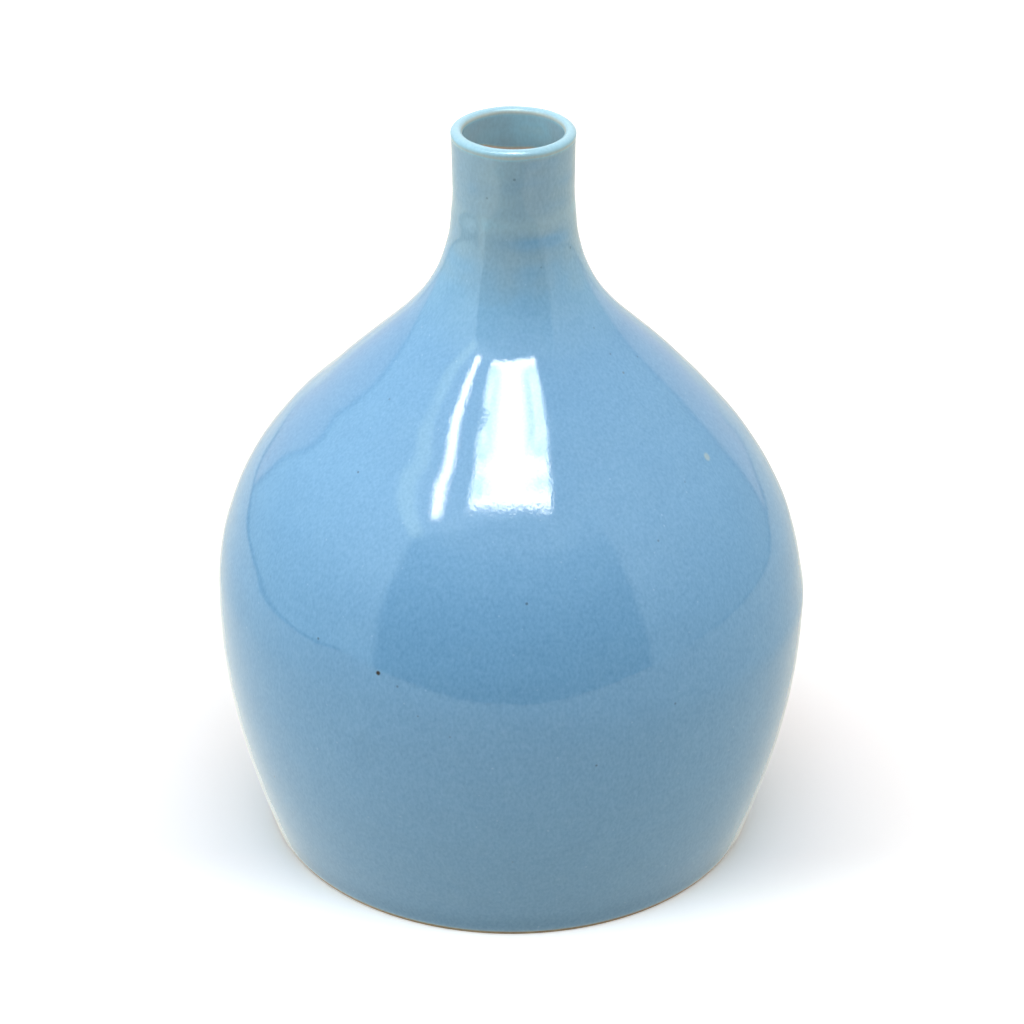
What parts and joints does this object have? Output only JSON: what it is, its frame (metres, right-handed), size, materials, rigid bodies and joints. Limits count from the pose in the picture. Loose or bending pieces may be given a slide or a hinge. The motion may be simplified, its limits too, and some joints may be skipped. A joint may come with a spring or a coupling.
{
  "type": "bud vase",
  "caption": "Free-standing bud vase: a round-bellied stoneware bottle with a slim straight neck and rounded lip, in glossy sky-blue glaze, for a few cut or dried stems.",
  "frame": {"origin": "centre of the foot, on the surface that the vase stands on", "axes": "+Z is the axis of the vase, from the foot up through the mouth; the vase is round about Z, and -Y faces the viewer"},
  "size_m": [0.1342, 0.1342, 0.1712],
  "materials": {
    "blue_glaze": "gloss",
    "bare_clay": "matte",
    "slip": "matte"
  },
  "bodies": {
    "root": {"clay_body": "bare_clay", "neck_collar": "bare_clay", "joint_slip": "slip", "glaze_coat": "blue_glaze"}
  },
  "joints": []
}
